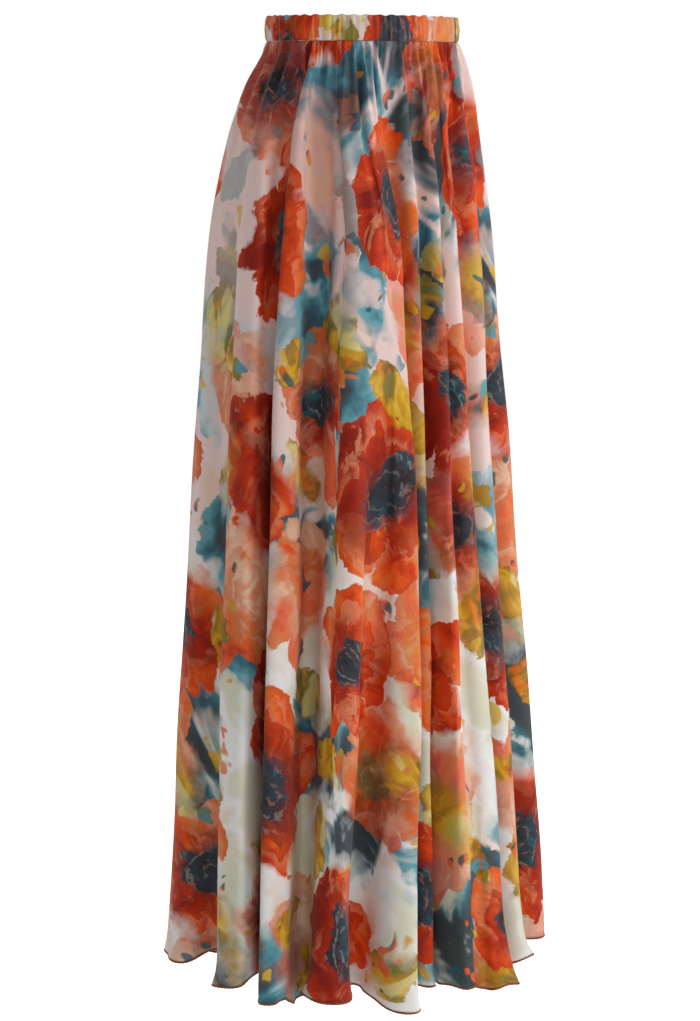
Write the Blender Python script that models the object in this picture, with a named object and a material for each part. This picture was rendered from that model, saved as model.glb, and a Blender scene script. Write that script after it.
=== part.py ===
"""Maxi skirt of thin printed chiffon, worn and hollow.

A flared front and back panel are gathered into a ring of waistband over a
25 mm elastic and fall in eighteen soft flutes to a narrow rolled hem.
Metres, +Z up. The origin is the middle of the waistband at half its height,
where a waist holds the skirt. The front of the skirt faces -Y and the
wearer's right side is -X.
"""

import math
from collections import namedtuple

import bmesh
import bpy
import numpy as np

# ---------------------------------------------------------------- sizes
BAND_HEIGHT = 0.025          # elastic casing, top to bottom
BAND_THICK = 0.0028          # two layers of chiffon over the elastic
BAND_PROUD = 0.0009          # casing stands out past the cloth gathered under it
BAND_CROWN = 0.0006          # the casing is fuller at half its height
BAND_COLUMNS = 64

CLOTH = 0.0012               # wall of the panels
SEAM_GAP = 0.0003            # between pieces that are sewn together
SKIRT_TOP = -(BAND_HEIGHT / 2 + SEAM_GAP)
HEM_LEVEL = -0.957           # mean height of the hem
HEM_TILT = -0.055            # hem height for each metre towards the front left
HEM_TILT_HEADING = -55.0     # degrees; the tilt runs square to this heading

COLUMNS_PER_FLUTE = 10
CURVE_STEPS = 40             # fine steps in half a flute before it is resampled
ROUNDING_PASSES = 10         # averaging that rounds the bottoms of the folds
# share of the way from the waistband to the hem at which each ring lies
RINGS = (0.0, 0.030, 0.075, 0.130, 0.190, 0.280, 0.400, 0.540, 0.680, 0.820, 0.940, 1.0)
# side seams: (flute, column inside it) where the two panels meet
SEAM_RIGHT = (2, 2)
SEAM_LEFT = (12, 2)

# Outline that the fold crests reach, at depths below the origin.
Level = namedtuple("Level", "below half_width half_depth set_back")
OUTLINE = (
    Level(0.0125, 0.1170, 0.0855, 0.0000),   # under the band
    Level(0.0300, 0.1245, 0.0915, 0.0010),
    Level(0.0600, 0.1385, 0.1020, 0.0055),
    Level(0.1100, 0.1570, 0.1125, 0.0110),
    Level(0.1900, 0.1740, 0.1240, 0.0125),   # hip
    Level(0.3300, 0.1920, 0.1340, 0.0120),
    Level(0.4840, 0.2090, 0.1445, 0.0095),   # mid thigh
    Level(0.6900, 0.2300, 0.1575, 0.0060),
    Level(0.8950, 0.2450, 0.1680, 0.0020),
    Level(0.9700, 0.2480, 0.1710, 0.0020),   # hem
)

# How much of each fold's hip and hem figures holds at depths below the origin,
# how full its loop is, and how far the last stretch bells out.
Growth = namedtuple("Growth", "below hip hem full bell")
GROWTH = (
    Growth(0.0125, 0.00, 0.00, 0.0, 0.0),
    Growth(0.0400, 0.15, 0.00, 0.2, 0.0),
    Growth(0.0900, 0.60, 0.00, 0.4, 0.0),
    Growth(0.1900, 1.00, 0.00, 0.6, 0.0),
    Growth(0.3300, 1.00, 0.14, 0.8, 0.0),
    Growth(0.4840, 0.80, 0.36, 0.9, 0.0),
    Growth(0.6900, 0.40, 0.68, 1.0, 0.0),
    Growth(0.8700, 0.10, 0.92, 1.0, 0.0),
    Growth(0.9200, 0.04, 0.96, 1.0, 0.4),
    Growth(0.9700, 0.00, 1.00, 1.0, 1.0),
)
ANGLE_DEPTHS = (0.0125, 0.19, 0.484, 0.96)   # where the four crest angles hold

# One row for each flute, going round from the back right by the right side,
# the front and the left side to the back. Angles are degrees of heading: 0 is
# the front, 90 the wearer's left. Lengths are metres.
#   waist hip thigh hem   heading of the crest at those heights
#   in_hip in_hem         how far the crest is set in from the outline
#   v_hip v_hem           depth of the valley after the flute
#   loop                  1 gives upright flanks, more gives an overhang
#   share bell            extra width of the crest, all along and at the hem
#   lean                  how far the crest leans sideways
#   curl                  how far the hem edge flips out
#   drop                  how much lower the hem hangs at the crest
Flute = namedtuple(
    "Flute", "waist hip thigh hem in_hip in_hem v_hip v_hem loop share bell lean curl drop"
)
FLUTES = (
    Flute(-133, -133, -132.0, -131.0, .000, .000, .010, .050, .90, .02, .02, .00, .003, -.006),
    Flute(-93, -86.0, -83.5, -80.6, .000, .004, .022, .062, .90, .08, .03, -.15, .002, -.004),
    Flute(-78, -70.5, -69.5, -72.2, .000, .000, .032, .074, .80, .12, .13, -.35, .005, .002),
    Flute(-58, -43.0, -45.5, -50.0, .000, .000, -.008, .066, 1.0, .06, .10, -.28, .004, -.001),
    Flute(-43, -28.0, -23.5, -30.6, .000, .000, .026, .080, 1.0, .16, .03, .05, .006, .014),
    Flute(-22, -18, -15.5, -17.5, .006, .030, .018, .075, .95, .05, .04, .15, .003, .003),
    Flute(-11, -9, -11.0, -13.5, .000, .000, .020, .010, .90, .10, .06, .15, .004, .002),
    Flute(1, 0, 0.0, 3.0, .000, .000, .020, .060, .95, .10, .12, .20, .017, .010),
    Flute(16, 15, 11.0, 13.5, .000, .004, .018, .060, .95, .05, .04, .10, .010, .004),
    Flute(38, 38, 38.0, 40.0, .000, .000, .016, .068, .90, .05, .04, .00, .003, -.004),
    Flute(60, 60, 61.0, 62.0, .000, .000, .016, .070, .95, .08, .05, -.05, .004, .002),
    Flute(80, 82, 83.0, 84.0, .000, .002, .014, .076, 1.0, .10, .06, .00, .004, .000),
    Flute(99, 101, 101.0, 102.0, .000, .000, .016, .066, .95, .05, .04, .08, .003, .003),
    Flute(122, 124, 124.0, 124.0, .000, .006, .018, .078, 1.0, .10, .05, .00, .006, .000),
    Flute(141, 142, 143.0, 143.0, .000, .000, .016, .066, .95, .06, .04, -.08, .003, .003),
    Flute(162, 164, 165.0, 164.0, .000, .002, .018, .074, 1.0, .12, .06, .05, .004, .000),
    Flute(184, 186, 188.0, 187.0, .000, .000, .018, .082, 1.0, .10, .05, .00, .006, .004),
    Flute(206, 208, 209.0, 208.0, .000, .004, .014, .064, .95, .06, .04, .05, .003, .000),
)

# Where the hem hangs higher (or lower, below zero) than its even sweep: flute
# and share, reach in flutes, how much.
Lift = namedtuple("Lift", "place reach up")
LIFTS = (
    Lift(0.90, .13, .021), Lift(1.78, .18, .021), Lift(2.92, .16, -.018), Lift(7.10, .18, -.011),
    Lift(8.46, .15, .009), Lift(10.05, .20, .010), Lift(11.95, .18, -.008), Lift(13.50, .22, .006),
    Lift(15.05, .18, .010), Lift(16.45, .22, -.006),
)


# ---------------------------------------------------------------- the cloth's surface
def read(table, column, below):
    """A table's column at a depth below the origin, straight between rows."""
    return float(np.interp(below, [row.below for row in table], [getattr(row, column) for row in table]))


def crest_heading(flute, below):
    return float(np.interp(below, ANGLE_DEPTHS, (flute.waist, flute.hip, flute.thigh, flute.hem)))


def half_flute(flute, below, start, end, depth_start, depth_end, rising, width):
    """Headings (radians) and depths inside the outline along one side of a flute."""
    full, bell = read(GROWTH, "full", below), read(GROWTH, "bell", below)
    q = np.arange(CURVE_STEPS) / CURVE_STEPS
    to_crest = q if rising else 1 - q
    swell = (1 - np.cos(math.pi * to_crest)) / 2
    heading = start + (end - start) * (q + flute.loop * full * np.sin(2 * math.pi * q) / (2 * math.pi))
    widen = (flute.share * full + flute.bell * bell) * np.sin(math.pi * q) ** 2
    heading += (-1 if rising else 1) * (end - start) * widen
    heading += flute.lean * full * width / 2 * swell
    depth = depth_start + (depth_end - depth_start) * (1 - np.cos(math.pi * q)) / 2
    return np.radians(heading), depth - flute.curl * bell**1.5 * swell


def rounded(values):
    for _ in range(ROUNDING_PASSES):
        values = (np.roll(values, 1) + 2 * values + np.roll(values, -1)) / 4
    return values


def ring(below):
    """One level ring of the cloth, with the columns evenly spaced along each flute's own curve."""
    a, b = read(OUTLINE, "half_width", below), read(OUTLINE, "half_depth", below)
    back = read(OUTLINE, "set_back", below)
    hip, hem = read(GROWTH, "hip", below), read(GROWTH, "hem", below)
    crests = [crest_heading(f, below) for f in FLUTES]
    after = [(c + n) / 2 for c, n in zip(crests, crests[1:] + [crests[0] + 360])]
    before = [after[-1] - 360] + after[:-1]
    valleys = [f.v_hip * hip + f.v_hem * hem for f in FLUTES]
    headings, depths = [], []
    for k, f in enumerate(FLUTES):
        inset = f.in_hip * hip + f.in_hem * hem
        width = after[k] - before[k]
        for side in (
            half_flute(f, below, before[k], crests[k], valleys[k - 1], inset, True, width),
            half_flute(f, below, crests[k], after[k], inset, valleys[k], False, width),
        ):
            headings.append(side[0])
            depths.append(side[1])
    t, d = np.concatenate(headings), np.concatenate(depths)
    nx, ny = b * np.sin(t), -a * np.cos(t)
    length = np.hypot(nx, ny)
    x = rounded(a * np.sin(t) - d * nx / length)
    y = rounded(-b * np.cos(t) - d * ny / length) + back
    points = []
    steps = 2 * CURVE_STEPS
    for k in range(len(FLUTES)):
        which = np.arange(k * steps, (k + 1) * steps + 1) % len(x)
        along = np.concatenate([[0.0], np.cumsum(np.hypot(np.diff(x[which]), np.diff(y[which])))])
        wanted = along[-1] * np.arange(COLUMNS_PER_FLUTE) / COLUMNS_PER_FLUTE
        for s in wanted:
            points.append((np.interp(s, along, x[which]), np.interp(s, along, y[which]), -below))
    return points


def lift(places):
    """How much higher the hem hangs at the given places."""
    up = np.zeros(len(places))
    for bump in LIFTS:
        gap = (places - bump.place + len(FLUTES) / 2) % len(FLUTES) - len(FLUTES) / 2
        up += bump.up * np.exp(-((gap / bump.reach) ** 2))
    return up


def cloth_grid():
    """Rings by columns of points on the outside of the cloth, from the band to the hem."""
    rings = [ring(-(SKIRT_TOP + (HEM_LEVEL - SKIRT_TOP) * share)) for share in RINGS]
    grid = np.array(rings)
    share = np.array(RINGS)[:, None]
    place = np.arange(grid.shape[1]) / COLUMNS_PER_FLUTE
    crestness = (1 - np.cos(2 * math.pi * place)) / 2
    drop = np.array([FLUTES[int(k)].drop for k in place]) * crestness
    heading = math.radians(HEM_TILT_HEADING)
    across = math.cos(heading) * grid[..., 0] + math.sin(heading) * grid[..., 1]
    grid[..., 2] += (HEM_TILT * across - drop + lift(place)) * share**2
    return grid


def outward_normals(grid):
    round_it = np.roll(grid, -1, axis=1) - np.roll(grid, 1, axis=1)
    down = np.gradient(grid, axis=0)
    normals = np.cross(down, round_it)
    return normals / np.linalg.norm(normals, axis=-1, keepdims=True)


# ---------------------------------------------------------------- making objects
def material(name, colour, roughness):
    made = bpy.data.materials.new(name)
    made.use_nodes = True
    shader = made.node_tree.nodes["Principled BSDF"]
    shader.inputs["Base Color"].default_value = (*colour, 1.0)
    shader.inputs["Roughness"].default_value = roughness
    shader.inputs["Metallic"].default_value = 0.0
    made.diffuse_color = (*colour, 1.0)
    return made


def link(name, bm, look, parent):
    mesh = bpy.data.meshes.new(name)
    bmesh.ops.recalc_face_normals(bm, faces=bm.faces)
    bm.to_mesh(mesh)
    bm.free()
    mesh.materials.append(look)
    mesh.shade_smooth()
    mesh.set_sharp_from_angle(angle=math.radians(50))
    made = bpy.data.objects.new(name, mesh)
    bpy.context.scene.collection.objects.link(made)
    made.parent = parent
    return made


def wall(bm, outer, inner):
    """A closed wall between two open grids of points that match row by row."""
    rows, columns = outer.shape[:2]
    out = [[bm.verts.new(outer[i, j]) for j in range(columns)] for i in range(rows)]
    ins = [[bm.verts.new(inner[i, j]) for j in range(columns)] for i in range(rows)]
    for i in range(rows - 1):
        for j in range(columns - 1):
            bm.faces.new((out[i][j], out[i + 1][j], out[i + 1][j + 1], out[i][j + 1]))
            bm.faces.new((ins[i][j], ins[i][j + 1], ins[i + 1][j + 1], ins[i + 1][j]))
    for i in range(rows - 1):
        for j in (0, columns - 1):
            bm.faces.new((out[i][j], ins[i][j], ins[i + 1][j], out[i + 1][j]))
    for j in range(columns - 1):
        for i in (0, rows - 1):
            bm.faces.new((out[i][j], out[i][j + 1], ins[i][j + 1], ins[i][j]))


def panel(name, first, last, grid, normals, look, parent):
    """The cloth from one side seam to the other, held off both seam lines by half a gap."""
    count = grid.shape[1]
    columns = [j % count for j in range(first, last + 1)]
    outer, normal = grid[:, columns].copy(), normals[:, columns]
    for edge, inside in ((0, 1), (-1, -2)):
        inward = outer[:, inside] - outer[:, edge]
        inward /= np.linalg.norm(inward, axis=-1, keepdims=True)
        outer[:, edge] += inward * SEAM_GAP / 2
    inner = outer - normal * CLOTH
    inner[0, :, 2] = outer[0, :, 2]      # the gathered edge is cut level under the band
    bm = bmesh.new()
    wall(bm, outer, inner)
    return link(name, bm, look, parent)


def waistband(look, parent):
    """The elastic casing: a rounded, slightly crowned section carried round the waist."""
    top = OUTLINE[0]
    half = BAND_HEIGHT / 2
    corner = BAND_THICK * 0.4
    section = (  # (how far out from the cloth's outline, height)
        (BAND_PROUD - corner, half),
        (BAND_PROUD, half - corner),
        (BAND_PROUD + BAND_CROWN, 0.0),
        (BAND_PROUD, -half + corner),
        (BAND_PROUD - corner, -half),
        (BAND_PROUD - BAND_THICK + corner, -half),
        (BAND_PROUD - BAND_THICK, -half + corner),
        (BAND_PROUD - BAND_THICK, half - corner),
        (BAND_PROUD - BAND_THICK + corner, half),
    )
    bm = bmesh.new()
    loops = []
    for j in range(BAND_COLUMNS):
        t = 2 * math.pi * j / BAND_COLUMNS
        nx, ny = top.half_depth * math.sin(t), -top.half_width * math.cos(t)
        length = math.hypot(nx, ny)
        loops.append([
            bm.verts.new((
                top.half_width * math.sin(t) + out * nx / length,
                -top.half_depth * math.cos(t) + out * ny / length,
                height,
            ))
            for out, height in section
        ])
    for j in range(BAND_COLUMNS):
        here, there = loops[j], loops[(j + 1) % BAND_COLUMNS]
        for i in range(len(section)):
            k = (i + 1) % len(section)
            bm.faces.new((here[i], here[k], there[k], there[i]))
    return link("waistband", bm, look, parent)


def main():
    for old in list(bpy.data.objects):
        bpy.data.objects.remove(old, do_unlink=True)
    root = bpy.data.objects.new("maxi_skirt", None)
    bpy.context.scene.collection.objects.link(root)

    grid = cloth_grid()
    normals = outward_normals(grid)
    right = SEAM_RIGHT[0] * COLUMNS_PER_FLUTE + SEAM_RIGHT[1]
    left = SEAM_LEFT[0] * COLUMNS_PER_FLUTE + SEAM_LEFT[1]
    panel("front_panel", right, left, grid, normals,
          material("front_chiffon", (0.72, 0.30, 0.17), 0.62), root)
    panel("back_panel", left, right + grid.shape[1], grid, normals,
          material("back_chiffon", (0.70, 0.31, 0.18), 0.62), root)
    waistband(material("waistband_chiffon", (0.68, 0.33, 0.20), 0.66), root)


main()
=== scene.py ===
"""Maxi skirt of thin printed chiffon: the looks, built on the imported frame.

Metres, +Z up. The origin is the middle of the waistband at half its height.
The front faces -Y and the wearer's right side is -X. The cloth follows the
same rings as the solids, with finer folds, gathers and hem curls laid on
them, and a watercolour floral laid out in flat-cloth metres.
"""

import math
from collections import namedtuple

import bpy
import numpy as np
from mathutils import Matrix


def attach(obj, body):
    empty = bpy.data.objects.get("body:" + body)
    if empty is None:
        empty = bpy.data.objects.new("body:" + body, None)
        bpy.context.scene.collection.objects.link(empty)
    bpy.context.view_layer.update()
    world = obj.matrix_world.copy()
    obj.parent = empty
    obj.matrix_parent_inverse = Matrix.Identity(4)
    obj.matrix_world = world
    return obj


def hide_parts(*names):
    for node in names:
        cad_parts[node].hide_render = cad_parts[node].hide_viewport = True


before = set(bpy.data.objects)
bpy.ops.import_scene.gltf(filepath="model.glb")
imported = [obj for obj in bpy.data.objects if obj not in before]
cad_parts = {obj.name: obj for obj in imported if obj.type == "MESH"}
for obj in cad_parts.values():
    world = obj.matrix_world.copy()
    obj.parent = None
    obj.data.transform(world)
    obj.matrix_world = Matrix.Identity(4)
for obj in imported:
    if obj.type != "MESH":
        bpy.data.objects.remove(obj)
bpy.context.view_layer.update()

# ---------------------------------------------------------------- sizes, as in the solids
BAND_HEIGHT = 0.025
BAND_THICK = 0.0028
BAND_PROUD = 0.0009
BAND_CROWN = 0.0006
SKIRT_TOP = -0.0128
HEM_LEVEL = -0.957
HEM_TILT = -0.055
HEM_TILT_HEADING = -55.0
CURVE_STEPS = 40
ROUNDING_PASSES = 10
SEAM_RIGHT = (2, 0.2)        # (flute, share of the way across it)
SEAM_LEFT = (12, 0.2)

# ---------------------------------------------------------------- sizes of the looks
CLOTH = 0.0006               # wall shown
PANEL_COLUMNS = 500          # columns across each panel
PANEL_ROWS = 96
BAND_COLUMNS = 1000
HEM_ROLL = 0.0010            # radius of the rolled and overlocked hem
# the flat cut: each panel is a sector of a ring, gathered to the waist
CUT_WAIST = 0.525            # width of a panel along its top edge
CUT_HEM = 1.450              # and along its hem
CUT_LENGTH = 0.965
CUT_BAND = 0.96              # length of the casing's strip, which the elastic draws up

Level = namedtuple("Level", "below half_width half_depth set_back")
OUTLINE = (
    Level(0.0125, 0.1170, 0.0855, 0.0000),
    Level(0.0300, 0.1245, 0.0915, 0.0010),
    Level(0.0600, 0.1385, 0.1020, 0.0055),
    Level(0.1100, 0.1570, 0.1125, 0.0110),
    Level(0.1900, 0.1740, 0.1240, 0.0125),
    Level(0.3300, 0.1920, 0.1340, 0.0120),
    Level(0.4840, 0.2090, 0.1445, 0.0095),
    Level(0.6900, 0.2300, 0.1575, 0.0060),
    Level(0.8950, 0.2450, 0.1680, 0.0020),
    Level(0.9700, 0.2480, 0.1710, 0.0020),
)
Growth = namedtuple("Growth", "below hip hem full bell")
GROWTH = (
    Growth(0.0125, 0.00, 0.00, 0.0, 0.0),
    Growth(0.0400, 0.15, 0.00, 0.2, 0.0),
    Growth(0.0900, 0.60, 0.00, 0.4, 0.0),
    Growth(0.1900, 1.00, 0.00, 0.6, 0.0),
    Growth(0.3300, 1.00, 0.14, 0.8, 0.0),
    Growth(0.4840, 0.80, 0.36, 0.9, 0.0),
    Growth(0.6900, 0.40, 0.68, 1.0, 0.0),
    Growth(0.8700, 0.10, 0.92, 1.0, 0.0),
    Growth(0.9200, 0.04, 0.96, 1.0, 0.4),
    Growth(0.9700, 0.00, 1.00, 1.0, 1.0),
)
ANGLE_DEPTHS = (0.0125, 0.19, 0.484, 0.96)
Flute = namedtuple(
    "Flute", "waist hip thigh hem in_hip in_hem v_hip v_hem loop share bell lean curl drop"
)
FLUTES = (
    Flute(-133, -133, -132.0, -131.0, .000, .000, .010, .050, .90, .02, .02, .00, .003, -.006),
    Flute(-93, -86.0, -83.5, -80.6, .000, .004, .022, .062, .90, .08, .03, -.15, .002, -.004),
    Flute(-78, -70.5, -69.5, -72.2, .000, .000, .032, .074, .80, .12, .13, -.35, .005, .002),
    Flute(-58, -43.0, -45.5, -50.0, .000, .000, -.008, .066, 1.0, .06, .10, -.28, .004, -.001),
    Flute(-43, -28.0, -23.5, -30.6, .000, .000, .026, .080, 1.0, .16, .03, .05, .006, .014),
    Flute(-22, -18, -15.5, -17.5, .006, .030, .018, .075, .95, .05, .04, .15, .003, .003),
    Flute(-11, -9, -11.0, -13.5, .000, .000, .020, .010, .90, .10, .06, .15, .004, .002),
    Flute(1, 0, 0.0, 3.0, .000, .000, .020, .060, .95, .10, .12, .20, .017, .010),
    Flute(16, 15, 11.0, 13.5, .000, .004, .018, .060, .95, .05, .04, .10, .010, .004),
    Flute(38, 38, 38.0, 40.0, .000, .000, .016, .068, .90, .05, .04, .00, .003, -.004),
    Flute(60, 60, 61.0, 62.0, .000, .000, .016, .070, .95, .08, .05, -.05, .004, .002),
    Flute(80, 82, 83.0, 84.0, .000, .002, .014, .076, 1.0, .10, .06, .00, .004, .000),
    Flute(99, 101, 101.0, 102.0, .000, .000, .016, .066, .95, .05, .04, .08, .003, .003),
    Flute(122, 124, 124.0, 124.0, .000, .006, .018, .078, 1.0, .10, .05, .00, .006, .000),
    Flute(141, 142, 143.0, 143.0, .000, .000, .016, .066, .95, .06, .04, -.08, .003, .003),
    Flute(162, 164, 165.0, 164.0, .000, .002, .018, .074, 1.0, .12, .06, .05, .004, .000),
    Flute(184, 186, 188.0, 187.0, .000, .000, .018, .082, 1.0, .10, .05, .00, .006, .004),
    Flute(206, 208, 209.0, 208.0, .000, .004, .014, .064, .95, .06, .04, .05, .003, .000),
)
COUNT = len(FLUTES)

# Where the hem hangs higher (or lower, below zero) than its even sweep: flute
# and share, reach in flutes, how much.
Lift = namedtuple("Lift", "place reach up")
LIFTS = (
    Lift(0.90, .13, .021), Lift(1.78, .18, .021), Lift(2.92, .16, -.018), Lift(7.10, .18, -.011),
    Lift(8.46, .15, .009), Lift(10.05, .20, .010), Lift(11.95, .18, -.008), Lift(13.50, .22, .006),
    Lift(15.05, .18, .010), Lift(16.45, .22, -.006),
)

# Creases laid on the flutes. place is the flute's number and the share
# of the way across it; top and bottom are depths below the origin; a negative
# depth is a trough and a positive one a ridge, in metres; width is the reach to
# each side along the cloth's outline; drift moves the lower end round; tuck is
# the width of cloth lost to sight in it.
Crease = namedtuple("Crease", "place top bottom depth width drift tuck", defaults=(0.0,))
CREASES = (
    Crease(1.30, .020, .230, -.0030, .0070, .10),
    Crease(1.72, .015, .150, .0026, .0060, .05),
    Crease(2.10, .018, .200, -.0030, .0060, .06),
    Crease(2.55, .016, .120, .0022, .0050, -.04),
    Crease(2.80, .150, .560, -.0022, .0080, .08),
    Crease(3.18, .015, .170, -.0040, .0070, -.05),
    Crease(3.13, .090, .400, -.0055, .0065, -.02, .022),
    Crease(3.31, .080, .420, .0036, .0075, -.03),
    Crease(1.93, .120, .460, -.0040, .0070, -.02, .020),
    Crease(1.02, .130, .420, -.0035, .0070, .00, .018),
    Crease(3.42, .018, .110, .0024, .0055, .02),
    Crease(3.45, .085, .640, -.0085, .0048, .04, .030),
    Crease(3.59, .085, .640, .0045, .0062, .04),
    Crease(3.48, .400, .960, -.0085, .0055, .03, .034),
    Crease(3.61, .380, .960, .0042, .0070, .03),
    Crease(3.70, .014, .260, -.0034, .0075, .12),
    Crease(4.15, .020, .330, -.0036, .0080, .06, .014),
    Crease(4.42, .016, .140, .0028, .0060, .02),
    Crease(4.60, .240, .700, -.0016, .0100, .05),
    Crease(4.72, .016, .200, -.0036, .0065, .04),
    Crease(5.20, .020, .240, .0030, .0065, .00),
    Crease(5.50, .016, .180, -.0034, .0060, .05),
    Crease(5.85, .300, .900, -.0022, .0070, .04, .020),
    Crease(6.28, .016, .150, -.0034, .0060, .02),
    Crease(6.50, .180, .520, .0016, .0090, .06),
    Crease(6.74, .018, .230, .0030, .0065, .03),
    Crease(7.20, .016, .260, -.0036, .0070, .05, .014),
    Crease(7.55, .014, .130, .0026, .0055, -.03),
    Crease(7.82, .300, .800, -.0018, .0080, .04, .018),
    Crease(8.15, .016, .180, -.0032, .0060, .02),
    Crease(8.60, .018, .210, .0026, .0065, .03),
    Crease(9.25, .016, .240, -.0032, .0070, .05),
    Crease(9.70, .015, .160, .0026, .0060, -.04),
    Crease(10.15, .017, .210, -.0034, .0065, .04),
    Crease(10.60, .280, .720, -.0018, .0090, .05, .018),
    Crease(11.30, .016, .170, -.0030, .0060, -.05),
    Crease(11.75, .018, .260, .0028, .0070, .04),
    Crease(12.35, .015, .200, -.0034, .0065, .05),
    Crease(12.80, .220, .640, .0016, .0085, -.05),
    Crease(13.20, .017, .230, -.0032, .0070, .03),
    Crease(13.65, .016, .140, .0026, .0055, .02),
    Crease(14.25, .018, .250, -.0034, .0070, -.04),
    Crease(14.70, .260, .760, -.0018, .0080, .06, .020),
    Crease(15.15, .016, .180, .0028, .0060, .03),
    Crease(15.60, .017, .210, -.0034, .0065, -.03),
    Crease(16.20, .016, .260, -.0032, .0070, .05),
    Crease(16.75, .240, .680, .0016, .0090, -.04),
    Crease(17.15, .015, .170, -.0030, .0060, .02),
    Crease(17.60, .018, .230, .0028, .0065, .04),
    Crease(0.25, .016, .200, -.0032, .0065, .05),
    Crease(0.62, .017, .150, .0026, .0060, -.03),
    Crease(0.85, .300, .820, -.0018, .0080, .04, .018),
)

# Where the hem's edge flips or curls: flute and share, reach in shares of a
# flute, how far it stands out, how far it lifts.
Curl = namedtuple("Curl", "place reach out lift")
CURLS = (
    Curl(0.30, .16, .0050, .0020), Curl(0.80, .12, -.0030, .0010), Curl(1.45, .14, .0045, .0020),
    Curl(2.15, .12, .0050, .0030), Curl(2.75, .16, -.0040, .0010), Curl(3.30, .16, .0055, .0030),
    Curl(3.85, .14, .0040, .0010), Curl(4.20, .13, .0060, .0040), Curl(4.70, .15, .0045, .0020),
    Curl(5.40, .20, .0050, .0020), Curl(6.10, .14, -.0030, .0010), Curl(6.50, .14, .0050, .0030),
    Curl(7.25, .12, .0060, .0040), Curl(7.80, .14, .0060, .0050), Curl(8.50, .14, .0050, .0030),
    Curl(9.30, .14, -.0040, .0010), Curl(9.75, .14, .0050, .0030), Curl(10.35, .15, .0055, .0030),
    Curl(11.10, .14, -.0040, .0010), Curl(11.60, .14, .0055, .0030), Curl(12.45, .16, .0050, .0020),
    Curl(13.20, .13, .0055, .0030), Curl(13.80, .14, -.0040, .0010), Curl(14.50, .16, .0055, .0030),
    Curl(15.30, .14, .0050, .0020), Curl(15.85, .13, -.0040, .0010), Curl(16.50, .16, .0055, .0030),
    Curl(17.35, .15, .0050, .0020),
)


# ---------------------------------------------------------------- reading the tables
def smooth_curve(xs, ys, x):
    """A monotone cubic through a table's points: straight beyond neither end, and no overshoot between."""
    xs, ys, x = np.asarray(xs, float), np.asarray(ys, float), np.atleast_1d(np.asarray(x, float))
    h = np.diff(xs)
    d = np.diff(ys) / h
    m = np.zeros(len(xs))
    m[0], m[-1] = d[0], d[-1]
    for i in range(1, len(xs) - 1):
        if d[i - 1] * d[i] > 0:
            w1, w2 = 2 * h[i] + h[i - 1], h[i] + 2 * h[i - 1]
            m[i] = (w1 + w2) / (w1 / d[i - 1] + w2 / d[i])
    x = np.clip(x, xs[0], xs[-1])
    k = np.clip(np.searchsorted(xs, x) - 1, 0, len(h) - 1)
    u = (x - xs[k]) / h[k]
    return (
        (2 * u**3 - 3 * u**2 + 1) * ys[k]
        + (u**3 - 2 * u**2 + u) * h[k] * m[k]
        + (3 * u**2 - 2 * u**3) * ys[k + 1]
        + (u**3 - u**2) * h[k] * m[k + 1]
    )


def read(table, column, below):
    return float(smooth_curve([r.below for r in table], [getattr(r, column) for r in table], below)[0])


def rows_down():
    """Depths of the rows of points: close under the band and at the hem, wider between."""
    top, bottom = -SKIRT_TOP, -HEM_LEVEL
    length = bottom - top
    share = np.linspace(0, 1, PANEL_ROWS)
    weight = 1 / (0.26 + 1.0 * np.clip((share - 0.04) / 0.42, 0, 1) ** 0.8 - 0.95 * np.clip((share - 0.88) / 0.12, 0, 1))
    # spacing grows where the weight is small
    spacing = 1 / weight
    down = np.concatenate([[0.0], np.cumsum((spacing[1:] + spacing[:-1]) / 2)])
    return top + length * down / down[-1]


# ---------------------------------------------------------------- the cloth's surface
def half_flute(flute, full, bell, start, end, depth_start, depth_end, rising, width):
    q = np.arange(CURVE_STEPS) / CURVE_STEPS
    to_crest = q if rising else 1 - q
    swell = (1 - np.cos(math.pi * to_crest)) / 2
    heading = start + (end - start) * (q + flute.loop * full * np.sin(2 * math.pi * q) / (2 * math.pi))
    widen = (flute.share * full + flute.bell * bell) * np.sin(math.pi * q) ** 2
    heading += (-1 if rising else 1) * (end - start) * widen
    heading += flute.lean * full * width / 2 * swell
    depth = depth_start + (depth_end - depth_start) * (1 - np.cos(math.pi * q)) / 2
    return np.radians(heading), depth - flute.curl * bell**1.5 * swell


def rounded(values):
    for _ in range(ROUNDING_PASSES):
        values = (np.roll(values, 1) + 2 * values + np.roll(values, -1)) / 4
    return values


def ring_curve(below):
    """The fine closed curve of one level, and each flute's length along it."""
    a, b = read(OUTLINE, "half_width", below), read(OUTLINE, "half_depth", below)
    back = read(OUTLINE, "set_back", below)
    hip, hem = read(GROWTH, "hip", below), read(GROWTH, "hem", below)
    full, bell = read(GROWTH, "full", below), read(GROWTH, "bell", below)
    crests = [float(smooth_curve(ANGLE_DEPTHS, (f.waist, f.hip, f.thigh, f.hem), below)[0]) for f in FLUTES]
    after = [(c + n) / 2 for c, n in zip(crests, crests[1:] + [crests[0] + 360])]
    before = [after[-1] - 360] + after[:-1]
    valleys = [f.v_hip * hip + f.v_hem * hem for f in FLUTES]
    headings, depths = [], []
    for k, f in enumerate(FLUTES):
        inset = f.in_hip * hip + f.in_hem * hem
        width = after[k] - before[k]
        for side in (
            half_flute(f, full, bell, before[k], crests[k], valleys[k - 1], inset, True, width),
            half_flute(f, full, bell, crests[k], after[k], inset, valleys[k], False, width),
        ):
            headings.append(side[0])
            depths.append(side[1])
    t, d = np.concatenate(headings), np.concatenate(depths)
    nx, ny = b * np.sin(t), -a * np.cos(t)
    length = np.hypot(nx, ny)
    return rounded(a * np.sin(t) - d * nx / length), rounded(-b * np.cos(t) - d * ny / length) + back


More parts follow.
